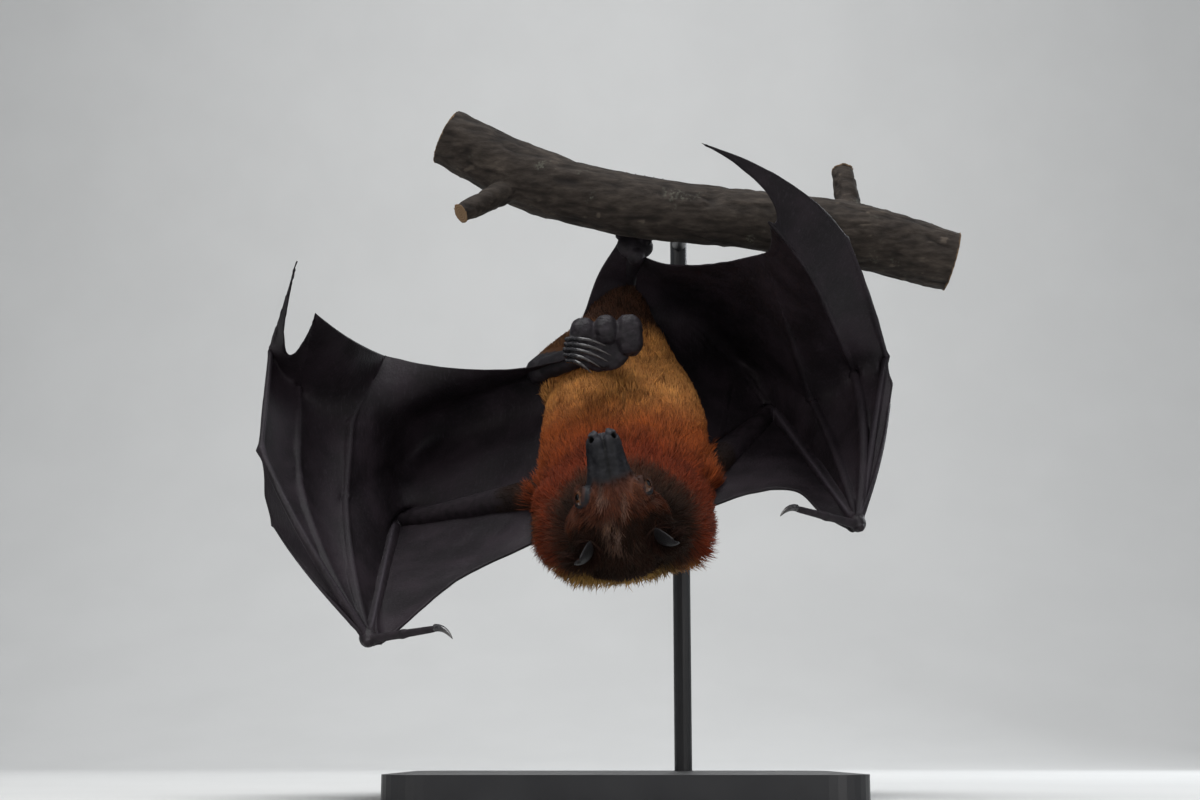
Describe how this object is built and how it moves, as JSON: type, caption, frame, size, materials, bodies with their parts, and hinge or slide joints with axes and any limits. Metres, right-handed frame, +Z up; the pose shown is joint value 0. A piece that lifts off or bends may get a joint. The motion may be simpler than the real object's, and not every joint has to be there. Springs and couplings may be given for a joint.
{
  "type": "fruit bat model",
  "caption": "Life-size still model of a fruit bat hanging by a foot from a short branch, wings half open and head tucked up, held by a plain display stand.",
  "frame": {"origin": "underside of the stand's base, below the middle of the perch", "axes": "+Z up; the bat's belly and face look towards -Y, its own left wing lies towards -X, and the perch runs along X"},
  "size_m": [0.3704, 0.2432, 0.3667],
  "materials": {
    "fur_gold": "dense golden brown fur",
    "fur_rufous": "dense rufous fur",
    "fur_dark": "short blackish brown fur, bare grey muzzle",
    "bare_skin": "bare dark grey skin",
    "wing_skin": "thin, slightly shiny blackish brown skin",
    "claw_horn": "dark polished horn",
    "eye": "wet, glossy, opaque orange brown",
    "bark": "rough mottled bark",
    "stand_paint": "satin black"
  },
  "bodies": {
    "root": {"body_web_left": "wing_skin", "body_web_right": "wing_skin", "ear_left": "bare_skin", "ear_right": "bare_skin", "eye_left": "eye", "eye_right": "eye", "finger_2_left": "wing_skin", "finger_2_right": "wing_skin", "finger_3_left": "wing_skin", "finger_3_right": "wing_skin", "finger_4_left": "wing_skin", "finger_4_right": "wing_skin", "finger_5_left": "wing_skin", "finger_5_right": "wing_skin", "foot_left": "bare_skin", "foot_right": "bare_skin", "forearm_left": "wing_skin", "forearm_right": "wing_skin", "front_web_left": "wing_skin", "front_web_right": "wing_skin", "head": "fur_dark", "leg_web": "wing_skin", "neck": "fur_rufous", "perch": "bark", "shin_left": "bare_skin", "shin_right": "bare_skin", "stand_arm": "stand_paint", "stand_base": "stand_paint", "stand_rod": "stand_paint", "thigh_left": "fur_rufous", "thigh_right": "fur_rufous", "thumb_claw_left": "claw_horn", "thumb_claw_right": "claw_horn", "thumb_left": "wing_skin", "thumb_right": "wing_skin", "toe_claw_1_left": "claw_horn", "toe_claw_1_right": "claw_horn", "toe_claw_2_left": "claw_horn", "toe_claw_2_right": "claw_horn", "toe_claw_3_left": "claw_horn", "toe_claw_3_right": "claw_horn", "toe_claw_4_left": "claw_horn", "toe_claw_4_right": "claw_horn", "toe_claw_5_left": "claw_horn", "toe_claw_5_right": "claw_horn", "trunk": "fur_gold", "upper_arm_left": "fur_rufous", "upper_arm_right": "fur_rufous", "web_2_3_left": "wing_skin", "web_2_3_right": "wing_skin", "web_3_4_left": "wing_skin", "web_3_4_right": "wing_skin", "web_4_5_left": "wing_skin", "web_4_5_right": "wing_skin"}
  },
  "joints": []
}
